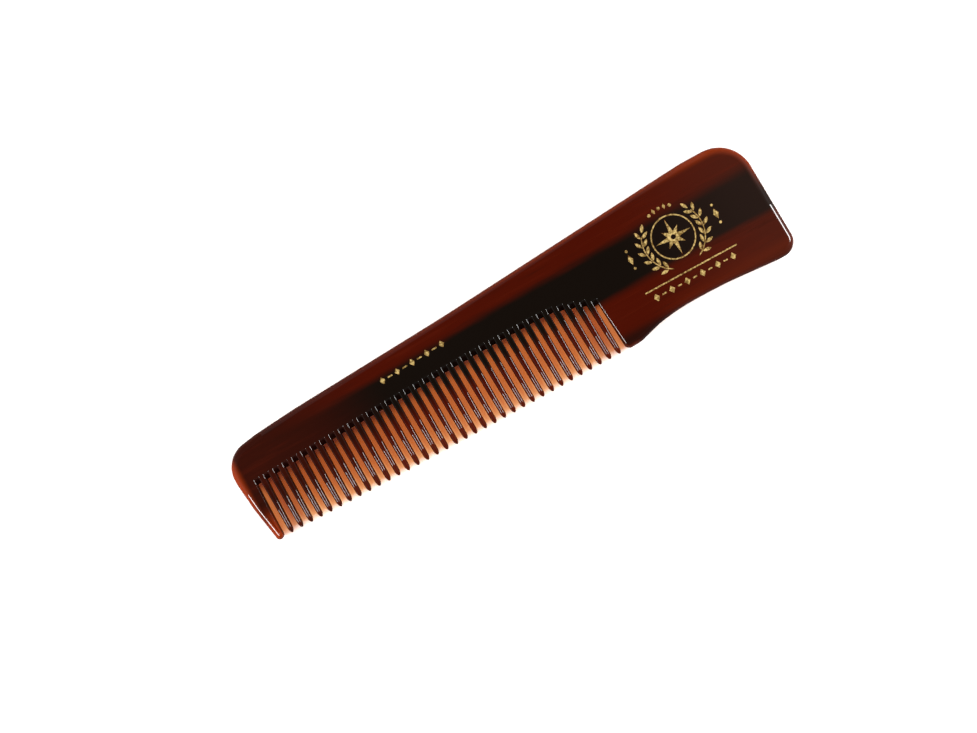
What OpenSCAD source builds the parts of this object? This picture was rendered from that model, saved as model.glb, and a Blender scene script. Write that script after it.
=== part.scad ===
// Saw-cut beard comb. One flat acetate blank carries a spine, an end guard and a broad grip, and a row of
// teeth is sawn between the guard and the grip's heel. Gold foil ornaments are pressed into the upper face.
// The comb lies on its underside: X runs from the guard to the grip, Y from the tooth tips to the back.

/* [Blank] */
// Length over all
comb_l = 140; // [132:1:150]
// Height over all, from the tooth tips to the highest point of the back
comb_h = 32.35; // [31:0.05:36]
// Height of the back where it meets the rounded guard end
guard_end_h = 22.85; // [21:0.05:24]
// Thickness of the acetate sheet
sheet_t = 4; // [3:0.1:5]
// Width and height of the break along the blank's edges
edge_break = 0.6; // [0.2:0.05:0.7]
// Rounding of the guard end, where it meets the back
guard_end_r = 6.6; // [3:0.1:6.8]
// Rounding of the grip end, where it meets the back
grip_top_r = 8.5; // [4:0.25:9]
// Rounding of the grip's lower end
grip_heel_r = 3.8; // [2:0.1:5]
// Height of the hollow for the finger under the grip, above the tooth tips
finger_hollow_h = 3.05; // [2.8:0.05:3.6]

/* [Teeth] */
// Number of teeth between the end guard and the grip
tooth_n = 35; // [25:1:36]
// Distance from one tooth to the next
tooth_pitch = 2.513; // [2.3:0.001:2.6]
// Width of a saw cut at the root
kerf_w = 1.1; // [0.8:0.05:1.3]
// Width of the end guard at its root
guard_w = 4.15; // [3.8:0.05:5]
// Width of a tooth just before its tip
tooth_tip_w = 1.22; // [0.8:0.02:1.3]
// Thickness of a tooth just before its tip
tooth_tip_t = 2.3; // [1.6:0.1:3]
// Height of the root line at the first cut, beside the guard
root_start_h = 13.85; // [12:0.05:15]
// Rise of the root line from the first cut to its highest point
root_rise = 2.4; // [0:0.1:3]
// Drop of the root line over the last cuts, beside the grip
root_drop = 3.5; // [0:0.1:4]
// Extra height of a saw cut on the two faces, over its height at mid thickness
root_wedge = 1.5; // [0.5:0.1:2]
// Lift of the outer tooth tips above those in the middle of the row
tip_bow = 0.4; // [0:0.05:0.8]
// How far the fanned teeth lean: shift of the last tooth's tip towards the grip, against its root
tooth_fan = 0.75; // [0:0.05:1]

/* [Foil ornament] */
// Depth of the pressed recess that holds the foil
foil_recess = 0.12; // [0.08:0.01:0.3]
// Thickness of the foil
foil_t = 0.06; // [0.02:0.01:0.08]
// Width of the fine foil lines
foil_line_w = 0.34; // [0.25:0.01:0.5]
// Outer radius of the ring round the star
ring_r = 5.3; // [4:0.1:5.5]
// Radius of the arc along which the two sprigs bend
sprig_r = 7.4; // [7:0.1:8]
// Leaf pairs on each sprig
leaf_pairs = 6; // [4:1:7]
// Length of the rule under the ornament
rule_l = 24; // [16:0.5:26]
// Beads in the arch over the ring
arch_beads = 5; // [3:2:5]
// Lozenges in the row under the rule
row_lozenges = 11; // [5:2:13]
// Lozenges and dashes in the row on the spine
spine_marks = 9; // [3:2:11]

/* [Hidden] */
$fn = 48;
cut_over = 1;
corner_step = 7;
cut_n = tooth_n + 1;

// Where the grip begins, at the last saw cut, and how far its inner edge leans away from the teeth
grip_x = guard_w + tooth_n * tooth_pitch + kerf_w;
heel_lean = 0.8;
heel_h = 0.3;
guard_tip_w = 1.9;
guard_tip_h = 0.2;
end_lean = 1;

// Centres of the foil ornament and of the row on the spine
badge = [comb_l - 24.3, 18.2];
row_y = 7.7;
rule_y = 9.7;
spine_mark = [49, 21.6];
spine_slope = 3.4;

function unit(v) = v / norm(v);
function mix(a, b, t) = a + (b - a) * t;

// Left side, right side and middle of saw cut number c, counted from 1 at the end guard
function cut_left(c) = guard_w + (c - 1) * tooth_pitch;
function cut_right(c) = cut_left(c) + kerf_w;

// Height of a saw cut's end at mid thickness: it rises away from the guard and drops over the last cuts
drop_cuts = 4.5;
rise_end = 0.8;
function rise_at(c) = 1 - pow(max(0, 1 - (c - 1) / tooth_n / rise_end), 1.5);
function drop_at(c) = pow(max(0, 1 - (cut_n - c) / drop_cuts), 1.4);
function root_y(c) = root_start_h + root_rise * rise_at(c) - root_drop * drop_at(c);

// Height of the tip of tooth number i
function tip_y(i) = tip_bow * pow(2 * (i - 0.5) / tooth_n - 1, 2);

// Corners of the blank before it is sawn, each [x, y, rounding radius], anticlockwise from the guard's tip
blank_corners = [
    [guard_w - guard_tip_w, guard_tip_h, 0.8],
    [grip_x + heel_lean, heel_h, 40],
    [grip_x + 4.8, heel_h + 0.22, 6],
    [grip_x + 10.1, finger_hollow_h - 0.95, 25],
    [grip_x + 16.1, finger_hollow_h, 50],
    [comb_l - 19, finger_hollow_h, 100],
    [comb_l - 5.2, 1.93, 12],
    [comb_l + 0.2, 1.93, grip_heel_r],
    [comb_l - end_lean, comb_h, grip_top_r],
    [comb_l - 15, comb_h - 0.03, 40],
    [comb_l * 0.43, mix(guard_end_h, comb_h, 0.487), 400],
    [20, guard_end_h + 2.4, 80],
    [9.2, guard_end_h + 1.5, 30],
    [0, guard_end_h, guard_end_r],
    [0, 16, 12],
    [0.7, 9, 30],
];

// Corners of the end guard and of the grip, where the first and the last saw cut shape them
guard_corners = [
    [-cut_over, guard_tip_h, 0],
    [guard_w - 0.1, guard_tip_h, 1],
    [guard_w, root_y(1), 0],
    [-cut_over, root_y(1), 0],
];
grip_corners = [
    [grip_x + heel_lean, heel_h, 1.4],
    [comb_l + cut_over, heel_h, 0],
    [comb_l + cut_over, comb_h + cut_over, 0],
    [grip_x, comb_h + cut_over, 0],
    [grip_x, root_y(cut_n), 0],
];

// Corner k of a closed list, counting round it
function at(list, k) = list[(k + len(list)) % len(list)];
function flat(p) = [p[0], p[1]];

// How far the path turns at corner b on the way from a to c: positive on an outer corner
function turn(a, b, c) =
    let (u = b - a, v = c - b) atan2(u[0] * v[1] - u[1] * v[0], u * v);

// The corner that lies a distance d inside the corner b, between the edges a-b and b-c
function inner_corner(a, b, c, d) =
    let (u = unit(b - a), v = unit(c - b), n = [-u[1] - v[1], u[0] + v[0]])
    b + n * d / (1 + u * v);

// A list of corners moved a distance d inwards, with their radii to match
function inset(corners, d) = [
    for (k = [0:len(corners) - 1])
        let (a = flat(at(corners, k - 1)), b = flat(corners[k]), c = flat(at(corners, k + 1)))
        let (p = inner_corner(a, b, c, d), outer = turn(a, b, c) > 0, r = corners[k][2])
        [p[0], p[1], r == 0 ? 0 : outer ? max(r - d, 0.05) : r + d]
];

// The points of the rounded corner b between a and c
function corner_arc(a, b, c) =
    let (p = flat(b), u = unit(flat(a) - p), v = unit(flat(c) - p), t = turn(flat(a), p, flat(c)))
    let (steps = b[2] == 0 ? 0 : max(2, ceil(abs(t) / corner_step)))
    let (half = (180 - abs(t)) / 2, hub = p + unit(u + v) * b[2] / sin(half))
    let (arm = p + u * b[2] / tan(half) - hub)
    steps == 0 ? [p] : [
        for (s = [0:steps])
            let (w = t * s / steps)
            hub + [arm[0] * cos(w) - arm[1] * sin(w), arm[0] * sin(w) + arm[1] * cos(w)]
    ];

// The points of a closed outline with rounded corners
function rounded(corners) = [
    for (k = [0:len(corners) - 1])
        each corner_arc(at(corners, k - 1), corners[k], at(corners, k + 1))
];

function middle(ring) = [for (p = ring) 1] * ring / len(ring);

// A solid skinned over rings that all have the same number of points. Each end is a fan of triangles about
// its middle, so an end may be slightly hollow in outline.
module skin(rings) {
    n = len(rings[0]);
    last = len(rings) - 1;
    hub = n * len(rings);
    sides = [
        for (r = [0:last - 1], k = [0:n - 1])
            let (m = (k + 1) % n)
            [r * n + k, (r + 1) * n + k, (r + 1) * n + m, r * n + m]
    ];
    ends = [
        for (k = [0:n - 1])
            let (m = (k + 1) % n)
            each [[hub, k, m], [hub + 1, last * n + m, last * n + k]]
    ];
    points = concat([for (r = rings) each r], [middle(rings[0]), middle(rings[last])]);
    polyhedron(points, concat(sides, ends), convexity = 10);
}

// The blank with its edges broken, before it is sawn
module blank() {
    levels = [
        [0, edge_break],
        [edge_break * 0.3, edge_break * 0.3],
        [edge_break, 0],
        [sheet_t - edge_break, 0],
        [sheet_t - edge_break * 0.3, edge_break * 0.3],
        [sheet_t, edge_break],
    ];
    skin([for (l = levels) [for (p = rounded(inset(blank_corners, l[1]))) [p[0], p[1], l[0]]]]);
}

// A column over a closed outline, taller than the sheet
module column(points) {
    translate([0, 0, -cut_over]) linear_extrude(sheet_t + 2 * cut_over) polygon(points);
}

// The end of one saw cut, which reaches higher on both faces than at mid thickness
module cut_end(c) {
    over = root_wedge * (1 + 2 * cut_over / sheet_t);
    profile = [
        [-cut_over, -cut_over],
        [over, -cut_over],
        [0, sheet_t / 2],
        [over, sheet_t + cut_over],
        [-cut_over, sheet_t + cut_over],
    ];
    translate([cut_left(c), root_y(c), 0]) rotate([90, 0, 90]) linear_extrude(kerf_w) polygon(profile);
}

// The recess pressed into the upper face for a piece of foil, and the foil in it
module recess() {
    translate([0, 0, sheet_t - foil_recess]) linear_extrude(foil_recess + cut_over) children();
}

module foil() {
    color("gold") translate([0, 0, sheet_t - foil_recess]) linear_extrude(foil_t) children();
}

module spine() {
    above_roots = concat(
        [for (c = [1:cut_n]) each [[cut_left(c), root_y(c)], [cut_right(c), root_y(c)]]],
        [[grip_x, comb_h + cut_over], [-cut_over, comb_h + cut_over], [-cut_over, root_y(1)]]
    );
    color("#451812") difference() {
        intersection() {
            blank();
            column(above_roots);
        }
        for (c = [1:cut_n]) cut_end(c);
        recess() spine_row_shape();
    }
}

module handle() {
    color("#51190f") difference() {
        intersection() {
            blank();
            column(rounded(grip_corners));
        }
        recess() badge_shapes();
    }
}

module end_guard() {
    color("#5e2213") intersection() {
        blank();
        column(rounded(guard_corners));
    }
}

// Cross-section of a tooth: a rectangle with cut corners, from the half width, half thickness and corner cut
function tooth_section(w, t, c) = [
    [-w, c - t], [c - w, -t], [w - c, -t], [w, c - t], [w, t - c], [w - c, t], [c - w, t], [-w, t - c]
];

// Stations along a tooth, each [distance along it, share of the taper, width share, thickness share, corner cut]
tooth_stations = [
    [0, 0, 1, 1, 0.03],
    [0.08, 0.05, 1, 1, 0.2],
    [0.45, 0.45, 1, 1, 0.26],
    [0.89, 0.95, 1, 1, 0.36],
    [0.95, 1, 0.82, 0.84, 0.34],
    [0.985, 1, 0.54, 0.6, 0.24],
    [1, 1, 0.3, 0.4, 0.12],
];

// One tooth. Its upper end meets the spine between the two saw cuts beside it.
module tooth(i) {
    left = cut_right(i);
    right = cut_left(i + 1);
    root_w = right - left;
    root_x = (left + right) / 2;
    lean = tooth_fan * pow(i / tooth_n, 0.7);
    section_at = function(s) tooth_section(
        mix(root_w, tooth_tip_w, s[1]) / 2 * s[2], mix(sheet_t, tooth_tip_t, s[1]) / 2 * s[3], s[4]);
    height_at = function(s, x) mix(mix(root_y(i), root_y(i + 1), x / root_w + 0.5), tip_y(i), s[0]);
    rings = [
        for (s = tooth_stations) [
            for (p = section_at(s)) [root_x + lean * s[0] + p[0], height_at(s, p[0]), sheet_t / 2 + p[1]]
        ]
    ];
    color("#6b2010") skin(rings);
}

// A pointed leaf along +Y, with its foot a little above the origin
module leaf(l, w, foot = 0.35) {
    edge = [for (t = [0:0.125:1]) [2 * w * t * (1 - t), foot + l * t]];
    back_edge = [for (k = [len(edge) - 2:-1:1]) [-edge[k][0], edge[k][1]]];
    polygon(concat(edge, back_edge));
}

module lozenge(w, h) {
    polygon([[-w / 2, 0], [0, -h / 2], [w / 2, 0], [0, h / 2]]);
}

module ring_shape() {
    translate(badge) difference() {
        circle(ring_r);
        circle(ring_r - foil_line_w);
    }
}

// An eight-pointed star with long and short points round a small open middle
module star_shape() {
    long_r = ring_r * 0.86;
    short_r = ring_r * 0.56;
    waist_r = ring_r * 0.26;
    points = [for (k = [0:15]) let (r = k % 2 == 1 ? waist_r : k % 4 == 0 ? long_r : short_r)
        r * [cos(k * 22.5 + 90), sin(k * 22.5 + 90)]];
    translate(badge) difference() {
        polygon(points);
        circle(ring_r * 0.11);
    }
}

// A sprig that bends round the ring, with leaves in pairs along its stem; side is -1 for left, 1 for right
module sprig_shape(side) {
    low = -56;
    high = 22;
    leaf_l = 2.1;
    leaf_w = 0.8;
    leaf_spread = 38;
    stem_half = 0.14;
    stem_out = [for (a = [low - 8:4:high + 8]) (sprig_r + stem_half) * [cos(a), sin(a)]];
    stem_in = [for (a = [high + 8:-4:low - 8]) (sprig_r - stem_half) * [cos(a), sin(a)]];
    translate(badge) mirror([side < 0 ? 1 : 0, 0]) {
        polygon(concat(stem_out, stem_in));
        for (k = [0:leaf_pairs - 1], lean = [-leaf_spread, leaf_spread])
            rotate(mix(low, high, k / (leaf_pairs - 1))) translate([sprig_r, 0]) rotate(lean)
                leaf(leaf_l, leaf_w);
        rotate(high + 10) translate([sprig_r, 0]) leaf(leaf_l, leaf_w);
    }
}

module arch_shape() {
    bead_step = 10.6;
    bead_r = 0.42;
    translate(badge) for (k = [0:arch_beads - 1])
        rotate((k - (arch_beads - 1) / 2) * bead_step) translate([0, sprig_r])
            if (k % 2 == 0) circle(bead_r); else lozenge(0.8, 1.5);
}

// A lozenge with a small bead above and below it, on each side of the ornament
module accent_shape() {
    reach = 11.2;
    for (side = [-1, 1]) translate(badge + [side * reach, 0]) {
        lozenge(1.3, 2.6);
        for (up = [-1, 1]) translate([0, up * 2.2]) circle(0.34);
    }
}

module rule_shape() {
    translate([badge[0] - rule_l / 2, rule_y - foil_line_w / 2]) square([rule_l, foil_line_w]);
}

module lozenge_row_shape() {
    step = rule_l / (row_lozenges + 1);
    for (k = [0:row_lozenges - 1])
        translate([badge[0] + (k - (row_lozenges - 1) / 2) * step, row_y])
            if (k % 2 == 0) lozenge(1.5, 1.9); else square([1.1, foil_line_w], center = true);
}

module spine_row_shape() {
    step = 2;
    translate(spine_mark) rotate(spine_slope) for (k = [0:spine_marks - 1])
        translate([(k - (spine_marks - 1) / 2) * step, 0])
            if (k % 2 == 0) lozenge(1.35, 1.8); else square([1.3, foil_line_w], center = true);
}

module badge_shapes() {
    ring_shape();
    star_shape();
    for (side = [-1, 1]) sprig_shape(side);
    arch_shape();
    accent_shape();
    rule_shape();
    lozenge_row_shape();
}

function tooth_name(i) = str("tooth_", i < 10 ? "0" : "", i);

// The origin is under the middle of the comb's outline
translate([-comb_l / 2, -comb_h / 2, 0]) {
    spine();
    handle();
    end_guard();
    for (i = [1:tooth_n]) tooth(i);
    foil() ring_shape();  // foil_ring
    foil() star_shape();  // foil_star
    foil() sprig_shape(-1);  // foil_sprig_left
    foil() sprig_shape(1);  // foil_sprig_right
    foil() arch_shape();  // foil_arch
    foil() accent_shape();  // foil_accents
    foil() rule_shape();  // foil_rule
    foil() lozenge_row_shape();  // foil_lozenge_row
    foil() spine_row_shape();  // foil_spine_row
}
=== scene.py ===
"""Looks of the beard comb: polished tortoiseshell acetate with pressed gold foil, lying on a white table.

The plates and teeth are built in millimetres, with X from the guard's end, Y from the tooth tips and Z from the
face that the comb lies on, and are put into the frame's metres when their meshes are made.
"""
import math

import bmesh
import bpy
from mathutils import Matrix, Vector, geometry


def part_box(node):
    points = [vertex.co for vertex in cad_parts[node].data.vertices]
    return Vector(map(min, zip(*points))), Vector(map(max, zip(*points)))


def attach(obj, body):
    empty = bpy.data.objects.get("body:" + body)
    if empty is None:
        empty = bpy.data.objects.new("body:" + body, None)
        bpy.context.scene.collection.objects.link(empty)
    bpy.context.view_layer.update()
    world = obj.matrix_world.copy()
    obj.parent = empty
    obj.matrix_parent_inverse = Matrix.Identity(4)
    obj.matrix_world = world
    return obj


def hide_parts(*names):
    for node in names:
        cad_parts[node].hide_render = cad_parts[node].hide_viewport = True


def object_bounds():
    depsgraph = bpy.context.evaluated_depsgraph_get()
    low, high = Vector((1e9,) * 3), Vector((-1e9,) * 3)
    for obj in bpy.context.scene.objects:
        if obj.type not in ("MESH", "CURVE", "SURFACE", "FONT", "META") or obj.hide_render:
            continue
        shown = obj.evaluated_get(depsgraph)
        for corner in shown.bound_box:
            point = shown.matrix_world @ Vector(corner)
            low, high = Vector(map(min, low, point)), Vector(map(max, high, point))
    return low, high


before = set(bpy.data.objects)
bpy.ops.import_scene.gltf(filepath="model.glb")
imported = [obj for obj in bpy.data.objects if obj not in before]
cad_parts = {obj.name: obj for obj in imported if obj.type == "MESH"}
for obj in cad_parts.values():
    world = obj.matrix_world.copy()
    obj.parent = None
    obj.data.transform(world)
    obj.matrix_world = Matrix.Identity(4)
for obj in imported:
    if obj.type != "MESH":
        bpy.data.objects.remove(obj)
CAD_LO, CAD_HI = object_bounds()
MM = 0.001

# The blank and the teeth, as the frame has them
COMB_L, COMB_H, SHEET_T = ((CAD_HI - CAD_LO) / MM)
MID = SHEET_T / 2
TOOTH_N = sum(name.startswith("tooth_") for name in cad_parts)
CUT_N = TOOTH_N + 1
GUARD_W = 4.15
PITCH = 2.513
KERF = 1.1
ROOT_W = PITCH - KERF
GRIP_X = GUARD_W + TOOTH_N * PITCH + KERF
ROOT_START, ROOT_RISE, ROOT_DROP = 13.85, 2.4, 3.5
RISE_END, DROP_CUTS = 0.8, 4.5
WEDGE = 1.5
TIP_W, TIP_T = 1.22, 2.3
TIP_BOW, FAN = 0.4, 0.75

# The polished round-over of the edges: how far it reaches in from the side and down from the face
ROUND_W, ROUND_H = 1.5, 1.7
# Width of the flat strip round a plate's face, which keeps the round-over's shading off the face
SUPPORT = 0.12
# The saw cuts' edges are rounded less, and the end of a cut has small round corners in plan
CUT_W, CUT_H = 0.3, 0.42
CUT_END_R = 0.16
# Depths under a face at which the outlines are made, down to mid thickness
DEPTHS = (0, 0.01, 0.04, 0.09, 0.16, 0.26, 0.4, 0.6, 0.9, 1.3, 1.7)
# How far below the end of a saw cut the spine's mesh meets the teeth
COLLAR = 1.2
# How far a face looks up or down, at most, where it counts as a side wall or as the end of a saw cut, and at
# least, where it counts as flat
WALL_TILT, GUARD_TILT, CUT_TILT, FLAT_TILT = 0.7, 0.86, 0.85, 0.99
# How far a face looks towards the tooth tips, at least, where it counts as a lower edge or as the end of a saw
# cut
LOWER_TILT, CUT_END_TILT = 0.2, 0.5
# The round-over has lost its polish at the left end, over a strip and over the shoulder up to a distance from
# the end, and on the grip's end above a share of its height
DULL_STRIP, DULL_X, DULL_Y, DULL_SHARE = 2, 12, 20, 0.4
# A tooth is dull at its tip, and its round-overs are dull from some height up, which on its right side grows
# from tooth to tooth along the comb
DULL_TIP, DULL_LEFT, DULL_RIGHT, DULL_GROWTH = 2.2, 6, 7.5, 6
# Places of the dull and the sawn acetate among a piece's materials
DULL_SLOT, SAWN_SLOT = 1, 2
# The widest round-over of a tooth, and the length of its blunt end
TOOTH_ROUND_W, BLUNT_L = 0.59, 1.3
# The grip's upper corner, and the angle between the points of a round corner, three times as wide up to a
# small radius
CORNER_R = 8.5
CORNER_STEP = math.radians(4)
SMALL_R = 2
# Creases sharper than this show as edges
SHARP = math.radians(32)

FOIL_NODES = [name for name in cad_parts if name.startswith("foil_")]


def lerp(a, b, t):
    return a + (b - a) * t


# ---------------------------------------------------------------- outlines

def cut_left(c):
    return GUARD_W + (c - 1) * PITCH


def root_y(c):
    """Height of the end of saw cut c at mid thickness."""
    rise = 1 - max(0, 1 - (c - 1) / TOOTH_N / RISE_END) ** 1.5
    drop = max(0, 1 - (CUT_N - c) / DROP_CUTS) ** 1.4
    return ROOT_START + ROOT_RISE * rise - ROOT_DROP * drop


def tip_y(i):
    return TIP_BOW * (2 * (i - 0.5) / TOOTH_N - 1) ** 2


def cut_end(c, z):
    """Height of the end of saw cut c at height z in the sheet: it reaches higher on both faces."""
    return root_y(c) + WEDGE * abs(z - MID) / MID


def seam_y(c, z):
    return cut_end(c, z) - COLLAR


LEVELS = [*DEPTHS, MID, *(SHEET_T - depth for depth in reversed(DEPTHS))]


def round_over(z, width, height):
    """How far an edge's round-over stands in from the side at height z."""
    depth = min(z, SHEET_T - z)
    return width * (1 - math.sqrt(1 - (1 - depth / height) ** 2)) if depth < height else 0.0


def offset_corner(a, b, c, before, after):
    """Corner b moved inwards by before from the edge a-b and by after from the edge b-c."""
    u, v = (b - a).normalized(), (c - b).normalized()
    n, m = Vector((-u.y, u.x)), Vector((-v.y, v.x))
    k = n.dot(m)
    if abs(before - after) < 1e-9:
        return b + (n + m) * before / (1 + k)
    return b + (n * (before - k * after) + m * (after - k * before)) / (1 - k * k)


def turn(a, b, c):
    u, v = b - a, c - b
    return math.atan2(u.x * v.y - u.y * v.x, u.dot(v))


def outline(corners):
    """The points of a closed outline. Each corner is (x, y, radius, inset of the edge before it, inset of the
    edge after it)."""
    points = [Vector(c[:2]) for c in corners]
    n = len(corners)
    moved = [
        offset_corner(points[k - 1], points[k], points[(k + 1) % n], corners[k][3], corners[k][4])
        for k in range(n)
    ]
    ring = []
    for k in range(n):
        bend = turn(points[k - 1], points[k], points[(k + 1) % n])
        radius = corners[k][2]
        if radius == 0:
            ring.append(moved[k])
            continue
        step = CORNER_STEP if radius > SMALL_R else 3 * CORNER_STEP
        steps = max(2, math.ceil(abs(bend) / step))
        shift = (corners[k][3] + corners[k][4]) / 2
        radius = max(radius - shift, 0.05) if bend > 0 else radius + shift
        ring += corner_arc(moved[k - 1], moved[k], moved[(k + 1) % n], radius, steps)
    return ring


def corner_arc(a, b, c, radius, steps):
    bend = turn(a, b, c)
    half = (math.pi - abs(bend)) / 2
    u, v = (a - b).normalized(), (c - b).normalized()
    hub = b + (u + v).normalized() * radius / math.sin(half)
    arm = b + u * radius / math.tan(half) - hub
    points = []
    for s in range(steps + 1):
        w = bend * s / steps
        turned = (arm.x * math.cos(w) - arm.y * math.sin(w), arm.x * math.sin(w) + arm.y * math.cos(w))
        points.append(hub + Vector(turned))
    return points


# The back's shoulder at the left end, its bend over the teeth, and the end of its straight stretch
SHOULDER_Y = 22.85
BACK_BEND = (COMB_L * 0.43, lerp(SHOULDER_Y, COMB_H, 0.487))
BACK_END = (COMB_L - 15, COMB_H - 0.03)


def back_y(x):
    """Height of the straight stretch of the back over the teeth."""
    left, right = Vector(BACK_BEND), Vector(BACK_END)
    return lerp(left.y, right.y, (x - left.x) / (right.x - left.x))


# Where the spine's mesh meets the guard's on the left edge, and the handle's along X
LEFT_SEAM = (0.35, 12.5)
SEAM_X = GRIP_X + 1.2


def guard_outline(z, side, cut):
    return [
        (2.25, 0.2, 0.8, side, side),
        (GUARD_W - 0.1, 0.2, 1, side, side * 0.45),
        (GUARD_W, seam_y(1, z), 0, cut, 0),
        (LEFT_SEAM[0], LEFT_SEAM[1], 0, 0, side),
        (0.7, 9, 30, side, side),
    ]


def spine_outline(z, side, cut):
    cuts = []
    for c in range(1, CUT_N + 1):
        left, right, top = cut_left(c), cut_left(c) + KERF, cut_end(c, z)
        cuts += [
            (left, seam_y(c, z), 0, 0, cut),
            (left, top, CUT_END_R, cut, cut),
            (right, top, CUT_END_R, cut, cut),
            (right, seam_y(c, z), 0, cut, 0),
        ]
    back = [
        (SEAM_X, seam_y(CUT_N, z), 0, 0, 0),
        (SEAM_X, back_y(SEAM_X), 0, 0, side),
        (*BACK_BEND, 400, side, side),
        (20, 25.25, 80, side, side),
        (9.2, 24.35, 30, side, side),
        (0, SHOULDER_Y, 6.6, side, side),
        (0, 16, 12, side, side),
        (LEFT_SEAM[0], LEFT_SEAM[1], 0, side, 0),
    ]
    return cuts + back


def handle_outline(z, side, cut):
    end_low, end_high = (COMB_L + 0.2, 1.93), (COMB_L - 1, COMB_H)
    dull_start = [lerp(low, high, DULL_SHARE) for low, high in zip(end_low, end_high)]
    return [
        (GRIP_X + 0.8, 0.3, 1.4, side * 0.5, side),
        (GRIP_X + 4.8, 0.52, 6, side, side),
        (GRIP_X + 10.1, 2.1, 25, side, side),
        (GRIP_X + 16.1, 3.05, 50, side, side),
        (COMB_L - 19, 3.05, 100, side, side),
        (COMB_L - 5.2, end_low[1], 12, side, side),
        (*end_low, 3.8, side, side),
        (*dull_start, 0, side, side),
        (*end_high, CORNER_R, side, side),
        (*BACK_END, 40, side, side),
        (SEAM_X, back_y(SEAM_X), 0, side, 0),
        (SEAM_X, seam_y(CUT_N, z), 0, 0, 0),
        (GRIP_X, seam_y(CUT_N, z), 0, 0, cut),
    ]


# ---------------------------------------------------------------- meshes

def place(x, y, z):
    return Vector((CAD_LO.x + x * MM, CAD_LO.y + y * MM, CAD_LO.z + z * MM))


def finish_piece(name, bm, node, materials):
    """Makes the object for a piece of acetate that stands for a CAD node."""
    bmesh.ops.remove_doubles(bm, verts=bm.verts, dist=1e-7)
    bmesh.ops.dissolve_degenerate(bm, edges=bm.edges, dist=1e-7)
    mesh = bpy.data.meshes.new(name)
    bm.to_mesh(mesh)
    bm.free()
    # Finding the sharp edges makes every face smooth, so the flat faces are made flat again
    smooth = [face.use_smooth for face in mesh.polygons]
    mesh.set_sharp_from_angle(angle=SHARP)
    mesh.polygons.foreach_set("use_smooth", smooth)
    for material in materials:
        mesh.materials.append(material)
    piece = bpy.data.objects.new(name, mesh)
    bpy.context.scene.collection.objects.link(piece)
    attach(piece, "root")
    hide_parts(node)


def skin(bm, rings):
    """Smooth walls from each ring of points to the next; returns the rings' vertices."""
    rows = [[bm.verts.new(place(*p)) for p in ring] for ring in rings]
    count = len(rows[0])
    for low, high in zip(rows, rows[1:]):
        for k in range(count):
            m = (k + 1) % count
            bm.faces.new([low[k], low[m], high[m], high[k]]).smooth = True
    return rows


def flat_faces(bm, loops, z, up):
    """Fills the region between the first loop and the others, flat at height z."""
    flats = [[Vector((p.x, p.y, 0)) for p in loop] for loop in loops]
    points = [p for loop in flats for p in loop]
    verts = [bm.verts.new(place(p.x, p.y, z)) for p in points]
    for tri in geometry.tessellate_polygon(flats):
        a, b, c = (points[k] for k in tri)
        if ((b - a).cross(c - a).z > 0) != up:
            tri = tri[::-1]
        bm.faces.new([verts[k] for k in tri])


def foil_loops(names):
    """The outlines of the foil in the CAD nodes, with the metal on the left of each."""
    after = {}
    for name in names:
        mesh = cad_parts[name].data
        top = max(v.co.z for v in mesh.vertices)
        keys = [(round(v.co.x, 8), round(v.co.y, 8)) for v in mesh.vertices]
        edges = set()
        for face in mesh.polygons:
            if face.normal.z < 0.9 or abs(face.center.z - top) > 1e-6:
                continue
            ids = [keys[k] for k in face.vertices]
            edges |= set(zip(ids, ids[1:] + ids[:1]))
        after.update({a: b for a, b in edges if (b, a) not in edges})
    loops = []
    while after:
        start, here = after.popitem()
        loop = [start]
        while here != start:
            loop.append(here)
            here = after.pop(here)
        loops.append([Vector(((x - CAD_LO.x) / MM, (y - CAD_LO.y) / MM)) for x, y in loop])
    return loops


def signed_area(loop):
    return sum(a.x * b.y - a.y * b.x for a, b in zip(loop, loop[1:] + loop[:1])) / 2


def inside(point, loop):
    odd = False
    for a, b in zip(loop, loop[1:] + loop[:1]):
        if (a.y > point.y) != (b.y > point.y) and point.x < lerp(a.x, b.x, (point.y - a.y) / (b.y - a.y)):
            odd = not odd
    return odd


def pressed_face(bm, rim, loops):
    """The upper face inside rim, with recesses pressed along the foil's outlines."""
    floor_z = (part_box(FOIL_NODES[0])[0].z - CAD_LO.z) / MM
    islands = [loop for loop in loops if signed_area(loop) < 0]
    pads = [loop for loop in loops if signed_area(loop) > 0]

    def owner(loop):
        """The smallest island round a loop, or none where it lies on the open face."""
        around = [i for i in islands if i is not loop and inside(loop[0], i)]
        return min(around, key=lambda i: abs(signed_area(i)), default=None)

    for region in [None] + islands:
        holes = [p for p in pads if owner(p) is region]
        flat_faces(bm, [rim if region is None else region] + holes, SHEET_T, True)
    for pad in pads:
        holes = [i for i in islands if inside(i[0], pad) and not any(
            p is not pad and inside(i[0], p) and abs(signed_area(p)) < abs(signed_area(pad)) for p in pads)]
        flat_faces(bm, [pad] + holes, floor_z, True)
    for loop in loops:
        high = [bm.verts.new(place(p.x, p.y, SHEET_T)) for p in loop]
        low = [bm.verts.new(place(p.x, p.y, floor_z)) for p in loop]
        for k in range(len(loop)):
            m = (k + 1) % len(loop)
            bm.faces.new([high[k], low[k], low[m], high[m]])


def worn(node, spot, normal):
    """Whether a plate's round-over has lost its polish at a spot, in millimetres."""
    if node == "spine":
        on_end = normal.x < -0.1 and abs(normal.y) < 0.05
        return spot.x < DULL_STRIP or spot.x < DULL_X and spot.y > DULL_Y or on_end
    return node == "handle" and spot.y > COMB_H * DULL_SHARE and spot.x > COMB_L - CORNER_R


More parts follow.
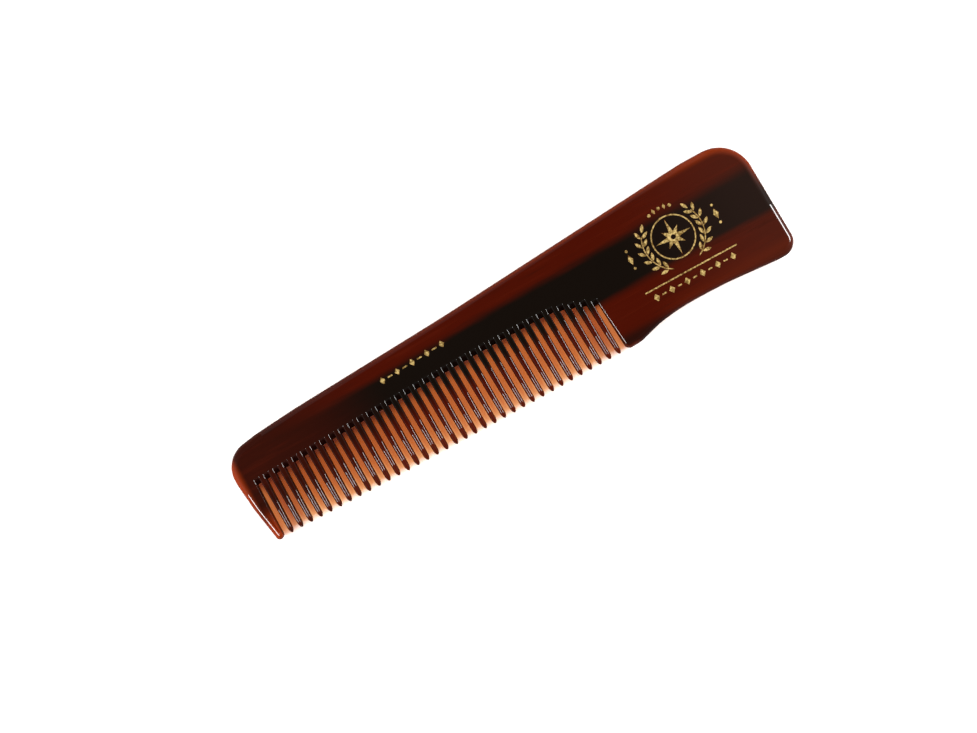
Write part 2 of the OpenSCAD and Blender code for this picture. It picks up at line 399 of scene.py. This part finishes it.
def plate(name, node, corners_at, foils, materials):
    """A flat piece of the blank. Its round edges are dull where they are worn or steep, and the ends of the saw
    cuts are left as sawn."""
    bm = bmesh.new()

    def ring(z, extra):
        side, cut = round_over(z, ROUND_W, ROUND_H) + extra, round_over(z, CUT_W, CUT_H)
        return [(p.x, p.y, z) for p in outline(corners_at(z, side, cut))]

    rings = [ring(0, SUPPORT)] + [ring(z, 0) for z in LEVELS] + [ring(SHEET_T, SUPPORT)]
    skin(bm, rings)
    bm.normal_update()
    wall_tilt = GUARD_TILT if node == "end_guard" else WALL_TILT
    for face in bm.faces:
        spot, normal = (face.calc_center_median() - CAD_LO) / MM, face.normal
        if worn(node, spot, normal) or abs(normal.z) < wall_tilt or normal.y < -LOWER_TILT:
            face.material_index = DULL_SLOT
        if node == "spine" and normal.y < -CUT_END_TILT and abs(normal.z) < CUT_TILT:
            face.material_index = SAWN_SLOT
    flat_faces(bm, [[Vector(p) for p in rings[0]]], 0, False)
    pressed_face(bm, [Vector(p) for p in rings[-1]], foil_loops(foils))
    finish_piece(name, bm, node, materials)


def tooth_stations(length):
    """Stations along a tooth, each (share of its length, share of its taper, share of its size, width of the
    round-over, height of the round-over)."""
    upper = [
        (0, CUT_W, CUT_H),
        (0.06, CUT_W, CUT_H),
        (0.16, 0.33, 0.5),
        (0.28, 0.4, 0.65),
        (0.42, 0.48, 0.85),
        (0.56, 0.55, 1.1),
        (0.68, TOOTH_ROUND_W, 1.3),
        (0.82, TOOTH_ROUND_W, 1.45),
    ]
    stations = [(s, s, 1, w, h) for s, w, h in upper]
    for left in (BLUNT_L, 1.0, 0.72, 0.48, 0.28, 0.13, 0.04):
        size = (1 - (1 - left / BLUNT_L) ** 2) ** 0.6
        stations.append((1 - left / length, 1, size, TOOTH_ROUND_W, 1.5))
    return stations


def tooth(i, materials):
    """A sawn tooth: its flat facets narrow towards a blunt point, and it leans a little towards the grip."""
    bm = bmesh.new()
    root_x = cut_left(i) + KERF + ROOT_W / 2
    lean = FAN * (i / TOOTH_N) ** 0.7
    rings = []
    for s, taper, size, width, height in tooth_stations(seam_y(i, MID) - tip_y(i)):
        half_w = lerp(ROOT_W, TIP_W, taper) / 2 * size
        half_t = lerp(SHEET_T, TIP_T, taper) / 2 * size
        sides = [(half_w - round_over(z, width, height) * size, half_t * (z - MID) / MID, z) for z in LEVELS]
        section = sides + [(-x, dz, z) for x, dz, z in reversed(sides)]
        ring = []
        for x, dz, z in section:
            root = lerp(seam_y(i, z), seam_y(i + 1, z), x / ROOT_W + 0.5)
            ring.append((root_x + lean * s + x, lerp(root, tip_y(i), s), MID + dz))
        rings.append(ring)
    rows = skin(bm, rings)
    bm.faces.new(list(reversed(rows[0])))
    hub = bm.verts.new(place(root_x + lean, tip_y(i), MID))
    for k in range(len(rows[-1])):
        bm.faces.new([rows[-1][k], rows[-1][(k + 1) % len(rows[-1])], hub]).smooth = True
    bmesh.ops.recalc_face_normals(bm, faces=bm.faces)
    right_limit = DULL_RIGHT + DULL_GROWTH * (i / TOOTH_N) ** 1.5
    for face in bm.faces:
        height = (face.calc_center_median().y - CAD_LO.y) / MM
        limit = right_limit if face.normal.x > 0 else DULL_LEFT
        dull_round = abs(face.normal.z) < FLAT_TILT and height > limit
        if dull_round or height < DULL_TIP or abs(face.normal.z) < WALL_TILT:
            face.material_index = DULL_SLOT
    finish_piece(f"acetate_tooth_{i:02d}", bm, f"tooth_{i:02d}", materials)


# ---------------------------------------------------------------- materials

class Graph:
    """Short calls for building a material's nodes."""

    def __init__(self, tree):
        self.tree = tree
        tree.nodes.clear()

    def add(self, kind, **values):
        node = self.tree.nodes.new(kind)
        for key, value in values.items():
            setattr(node, key, value)
        return node

    def put(self, socket, value):
        if isinstance(value, bpy.types.NodeSocket):
            self.tree.links.new(value, socket)
        else:
            socket.default_value = value

    def math(self, operation, a, b=0.0):
        node = self.add("ShaderNodeMath", operation=operation)
        self.put(node.inputs[0], a)
        self.put(node.inputs[1], b)
        return node.outputs[0]

    def step(self, value, low, high, out_low=0.0, out_high=1.0):
        """Turns smoothly from out_low at low to out_high at high."""
        node = self.add("ShaderNodeMapRange", interpolation_type="SMOOTHSTEP")
        for socket, number in zip(node.inputs, (value, low, high, out_low, out_high)):
            self.put(socket, number)
        return node.outputs[0]

    def blend(self, factor, a, b):
        node = self.add("ShaderNodeMix", data_type="RGBA")
        self.put(node.inputs["Factor"], factor)
        self.put(node.inputs[6], a)
        self.put(node.inputs[7], b)
        return node.outputs[2]

    def noise(self, vector, scale, detail=2.0, rough=0.5):
        node = self.add("ShaderNodeTexNoise")
        self.put(node.inputs["Vector"], vector)
        for name, value in (("Scale", scale), ("Detail", detail), ("Roughness", rough)):
            node.inputs[name].default_value = value
        return node.outputs[0]

    def mapping(self, vector, scale, location=(0, 0, 0)):
        node = self.add("ShaderNodeMapping")
        self.put(node.inputs["Vector"], vector)
        node.inputs["Location"].default_value = location
        node.inputs["Scale"].default_value = scale
        return node.outputs[0]

    def millimetres(self):
        """Position in millimetres from the comb's lower left corner."""
        coords = self.add("ShaderNodeTexCoord").outputs["Object"]
        return self.mapping(coords, (1 / MM,) * 3, tuple(-v / MM for v in CAD_LO))

    def split(self, vector):
        node = self.add("ShaderNodeSeparateXYZ")
        self.put(node.inputs[0], vector)
        return node.outputs


def srgb(r, g, b, gain=1.0):
    """A linear colour from 0 to 255 display values."""
    linear = [((c / 255 + 0.055) / 1.055) ** 2.4 if c > 10 else c / 255 / 12.92 for c in (r, g, b)]
    return (*[c * gain for c in linear], 1.0)


def new_material(name):
    material = bpy.data.materials.new(name)
    material.use_nodes = True
    return material, Graph(material.node_tree)


# The acetate's colours as the photo shows them, scaled to come out the same under the lights here
ALBEDO = 0.5
RED = srgb(77, 15, 2, ALBEDO)
END_RED = srgb(77, 29, 18, ALBEDO)
# The black of the band, also used as painted shade on steep sides and along the grip's lower edge
BLACK = srgb(20, 13, 8, ALBEDO)
SMOKE = srgb(40, 27, 22, ALBEDO)
BROWN = srgb(55, 16, 7, ALBEDO)
STREAK = srgb(104, 30, 12, ALBEDO)
# Painted glow: the amber that light coming through thin acetate shows, put into its colour
AMBER = srgb(158, 54, 12, ALBEDO)
# How the drift of the pattern and its finer streaks are stretched along the comb
DRIFT_SCALE, STREAK_SCALE = (0.035, 0.16, 0.3), (0.05, 0.7, 0.5)
# What the acetate lets through to light the table: at the tooth roots, more orange at the left end and paler
# along the rest of the comb, at the thinner tooth tips, and through the thick plates
ROOT_GLOW = (0.735, 0.51, 0.26, 1)
PALE_GLOW = (0.78, 0.57, 0.35, 1)
TIP_GLOW = (0.775, 0.555, 0.34, 1)
PLATE_GLOW = (0.56, 0.3, 0.14, 1)
# Gold foil in the light, in the shade of its grain, and where it is worn
GOLD, DARK_GOLD, WORN_GOLD = srgb(220, 192, 122), srgb(140, 108, 52), srgb(112, 80, 40)
OFF_WHITE, WHITE = (0.9, 0.9, 0.9, 1), (0.93, 0.93, 0.93, 1)


def dark_band(g, at, x, y):
    """How black the band along the comb is: its upper border rises to the right, and its left end fades."""
    drift = g.noise(g.mapping(at, DRIFT_SCALE), 1.0, 3.0, 0.55)
    wavy = g.math("ADD", y, g.math("MULTIPLY", g.math("SUBTRACT", drift, 0.5), 3.0))
    top = g.math("ADD", g.math("MULTIPLY", x, 0.03), 21.4)
    softness = g.step(x, 90.0, 130.0, -1.3, -2.6)
    below_top = g.step(g.math("SUBTRACT", wavy, top), softness, 1.1, 1.0, 0.0)
    above_low = g.step(wavy, g.step(x, GRIP_X - 3, GRIP_X, 8.6, 11.6), 14.0)
    from_left = g.step(x, 4.0, 42.0)
    return g.math("MULTIPLY", g.math("MULTIPLY", below_top, above_low), from_left)


def body_colour(g, at, x, y):
    """Streaky red-brown with the black band, browner at the left, greyer at the right, and painted shade
    darkening the grip towards its lower edge.
    """
    streak = g.noise(g.mapping(at, STREAK_SCALE), 1.0, 4.0, 0.6)
    to_end = g.step(x, 100.0, 142.0)
    ground = g.blend(g.step(x, 8.0, 44.0, 1.0, 0.0), g.blend(to_end, RED, END_RED), BROWN)
    ground = g.blend(g.step(streak, 0.5, 0.75, 0.0, 0.22), ground, STREAK)
    ground = g.blend(g.step(streak, 0.46, 0.25, 0.0, 0.3), ground, BLACK)
    ground = g.blend(dark_band(g, at, x, y), ground, g.blend(to_end, BLACK, SMOKE))
    # Painted shade: the grip darkens to black towards its lower edge, less towards its end
    low = g.math("MULTIPLY", g.step(y, 2.2, 4.8, 0.75, 0.0), g.step(x, GRIP_X - 0.5, GRIP_X))
    return g.blend(g.math("MULTIPLY", low, g.step(x, 104.0, 120.0, 1.0, 0.5)), ground, BLACK)


def corner_light(g, x, y):
    """Painted glow: how amber the grip's upper edge is, most of all round its corner, where light comes through
    it.
    """
    beyond_x = g.math("MAXIMUM", g.math("SUBTRACT", x, COMB_L - CORNER_R), 0.0)
    beyond_y = g.math("MAXIMUM", g.math("SUBTRACT", y, COMB_H - CORNER_R), 0.0)
    squares = g.math("ADD", g.math("POWER", beyond_x, 2.0), g.math("POWER", beyond_y, 2.0))
    near_edge = g.step(g.math("SQRT", squares), CORNER_R - 2.5, CORNER_R)
    upper = g.math("MULTIPLY", near_edge, g.step(y, 17.0, 27.0))
    return g.math("MULTIPLY", upper, g.step(x, GRIP_X, COMB_L - 5, 0.15, 1.0))


def rim_light(g, x, y, tilt):
    """Painted glow: how amber the round-overs of the back and of the grip's heel are, where light comes through
    them.
    """
    back = g.math("MULTIPLY", g.step(x, 20.0, 108.0, 0.1, 0.7), g.step(y, 19.0, 25.0))
    from_heel = g.math("ABSOLUTE", g.math("SUBTRACT", x, GRIP_X + 1))
    heel = g.math("MULTIPLY", g.step(y, 0.5, 4.5, 0.3, 0.0), g.step(from_heel, 1.5, 5.0, 1.0, 0.0))
    return g.math("MULTIPLY", g.step(tilt, 0.55, 0.995, 1.0, 0.0), g.math("MAXIMUM", back, heel))


def tip_light(g, x, y):
    """Painted glow: how amber the guard's tip is, and faintly the teeth's tips, where light comes through them.
    """
    height = g.step(y, 1.5, 9.0, 1.0, 0.0)
    tips = g.math("MULTIPLY", g.step(x, 3.6, 5.0, 1.0, 0.12), height)
    return g.math("MULTIPLY", tips, g.step(x, GRIP_X - 1, GRIP_X, 1.0, 0.0))


def acetate_colour(g, at):
    """The pattern of the acetate, with a painted amber glow where it is thin and lit from behind, and painted
    shade on its steep sides.
    """
    x, y = g.split(at)[:2]
    normal = g.split(g.add("ShaderNodeTexCoord").outputs["Normal"])
    tilt = g.math("ABSOLUTE", normal[2])
    # Painted glow: amber along the left end and faintly over the grip's lower edge, where light comes through
    left_end_glow = g.math("MULTIPLY", g.step(x, 0.5, 2.6, 1.0, 0.0), g.step(y, 21.0, 24.0, 1.0, 0.3))
    hollow_glow = g.math("MULTIPLY", g.step(y, 4.0, 7.0, 0.1, 0.0), g.step(x, 102.0, 114.0))
    glow = left_end_glow
    for light in (corner_light(g, x, y), hollow_glow, rim_light(g, x, y, tilt), tip_light(g, x, y)):
        glow = g.math("MAXIMUM", glow, light)
    lit = g.blend(glow, body_colour(g, at, x, y), AMBER)
    # Painted shade: the steep sides are darkened towards black
    return g.blend(g.step(tilt, 0.1, 0.6, 0.75, 0.0), lit, BLACK)


def make_acetate(name, teeth, roughness, specular):
    """Acetate whose shadows are filled with the light that comes through it."""
    material, g = new_material(name)
    at = g.millimetres()
    shader = g.add("ShaderNodeBsdfPrincipled")
    g.put(shader.inputs["Base Color"], acetate_colour(g, at))
    shader.inputs["Roughness"].default_value = roughness
    shader.inputs["Specular IOR Level"].default_value = specular

    through = g.add("ShaderNodeBsdfTransparent")
    x, y = g.split(at)[:2]
    root_glow = g.blend(g.step(x, 15.0, 65.0), ROOT_GLOW, PALE_GLOW)
    g.put(through.inputs[0], g.blend(g.step(y, 2.0, 14.0), TIP_GLOW, root_glow) if teeth else PLATE_GLOW)
    mixer = g.add("ShaderNodeMixShader")
    g.put(mixer.inputs[0], g.add("ShaderNodeLightPath").outputs["Is Shadow Ray"])
    g.put(mixer.inputs[1], shader.outputs[0])
    g.put(mixer.inputs[2], through.outputs[0])
    g.put(g.add("ShaderNodeOutputMaterial").inputs[0], mixer.outputs[0])
    return material


def make_foil():
    material, g = new_material("pressed_gold_foil")
    at = g.millimetres()
    shader = g.add("ShaderNodeBsdfPrincipled")
    grain = g.noise(at, 2.2, 4.0, 0.6)
    wear = g.noise(at, 0.9, 5.0, 0.65)
    gold = g.blend(g.step(grain, 0.35, 0.65), DARK_GOLD, GOLD)
    g.put(shader.inputs["Base Color"], g.blend(g.step(wear, 0.56, 0.66), gold, WORN_GOLD))
    shader.inputs["Metallic"].default_value = 0.75
    g.put(shader.inputs["Roughness"], g.step(grain, 0.25, 0.75, 0.36, 0.55))
    bump = g.add("ShaderNodeBump")
    bump.inputs["Strength"].default_value = 0.4
    bump.inputs["Distance"].default_value = 0.00005
    g.put(bump.inputs["Height"], grain)
    g.put(shader.inputs["Normal"], bump.outputs[0])
    g.put(g.add("ShaderNodeOutputMaterial").inputs[0], shader.outputs[0])
    return material


def make_table():
    material, g = new_material("white_table")
    shader = g.add("ShaderNodeBsdfPrincipled")
    coords = g.add("ShaderNodeTexCoord").outputs["Object"]
    paper = g.noise(coords, 40.0, 3.0)
    g.put(shader.inputs["Base Color"], g.blend(paper, OFF_WHITE, WHITE))
    shader.inputs["Roughness"].default_value = 0.9
    shader.inputs["Specular IOR Level"].default_value = 0.1
    g.put(g.add("ShaderNodeOutputMaterial").inputs[0], shader.outputs[0])
    return material


# ---------------------------------------------------------------- stage

FLOOR_HALF, FLOOR_GAP = 1.5, 0.00002
SURROUND, OVERHEAD = (0.22, 0.22, 0.22, 1), (0.02, 0.02, 0.02, 1)


def make_floor():
    """A white table just under the comb."""
    mesh = bpy.data.meshes.new("table")
    bm = bmesh.new()
    bmesh.ops.create_grid(bm, x_segments=1, y_segments=1, size=FLOOR_HALF)
    bm.to_mesh(mesh)
    bm.free()
    mesh.materials.append(make_table())
    floor = bpy.data.objects.new("table", mesh)
    floor.location.z = CAD_LO.z - FLOOR_GAP
    bpy.context.scene.collection.objects.link(floor)


def make_light(name, azimuth, elevation, distance, width, height, power):
    """A soft box that looks at the comb, with its angles in degrees, its sizes in metres and its power in
    watts."""
    light = bpy.data.lights.new(name, "AREA")
    light.shape = "RECTANGLE"
    light.size = width
    light.size_y = height
    light.energy = power
    holder = bpy.data.objects.new(name, light)
    a, e = math.radians(azimuth), math.radians(elevation)
    spot = Vector((math.cos(a) * math.cos(e), math.sin(a) * math.cos(e), math.sin(e)))
    holder.location = spot * distance
    holder.rotation_euler = spot.to_track_quat("Z", "Y").to_euler()
    bpy.context.scene.collection.objects.link(holder)


def make_world():
    """A grey surround, dark overhead where the polished faces would mirror it into the camera."""
    world = bpy.data.worlds.new("studio")
    world.use_nodes = True
    g = Graph(world.node_tree)
    z = g.split(g.add("ShaderNodeTexCoord").outputs["Generated"])[2]
    background = g.add("ShaderNodeBackground")
    g.put(background.inputs[0], g.blend(g.step(z, 0.8, 0.95), SURROUND, OVERHEAD))
    g.put(g.add("ShaderNodeOutputWorld").inputs[0], background.outputs[0])
    bpy.context.scene.world = world


def make_camera():
    """Straight over the comb, turned so that it lies aslant."""
    slant = math.radians(28.6)
    camera = bpy.data.cameras.new("camera")
    camera.lens = 100
    camera.sensor_width = 36
    camera.clip_start = 0.01
    view_w = 0.22575
    view_x, view_y = -0.00599, -0.00384
    holder = bpy.data.objects.new("camera", camera)
    height = CAD_LO.z + MID * MM + view_w * camera.lens / camera.sensor_width
    holder.location = (view_x, view_y, height)
    holder.rotation_euler = (0, 0, -slant)
    bpy.context.scene.collection.objects.link(holder)
    bpy.context.scene.camera = holder


make_camera()
make_world()
make_floor()
# The lights stand beyond the two ends of the comb, so that hardly any shadow shows along its long sides
make_light("key_right", 0, 30, 0.7, 0.5, 0.2, 10)
make_light("fill_left", 178, 30, 0.7, 0.45, 0.2, 9)
bpy.context.scene.view_settings.view_transform = "Standard"

# Roughness and specular level
POLISHED, POLISHED_TOOTH, DULL, SAWN = (0.15, 0.5), (0.15, 0.35), (0.5, 0.03), (0.6, 0.1)
plate_acetate = [
    make_acetate("tortoiseshell_acetate", False, *POLISHED),
    make_acetate("tortoiseshell_acetate_edge", False, *DULL),
    make_acetate("tortoiseshell_acetate_sawn", False, *SAWN),
]
tooth_acetate = [
    make_acetate("tortoiseshell_acetate_teeth", True, *POLISHED_TOOTH),
    make_acetate("tortoiseshell_acetate_teeth_edge", True, *DULL),
]
badge_foils = [name for name in FOIL_NODES if name != "foil_spine_row"]
plate("acetate_spine", "spine", spine_outline, ["foil_spine_row"], plate_acetate)
plate("acetate_handle", "handle", handle_outline, badge_foils, plate_acetate)
plate("acetate_guard", "end_guard", guard_outline, [], plate_acetate)
for number in range(1, TOOTH_N + 1):
    tooth(number, tooth_acetate)

foil = make_foil()
for foil_name in FOIL_NODES:
    for material_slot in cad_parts[foil_name].material_slots:
        material_slot.material = foil
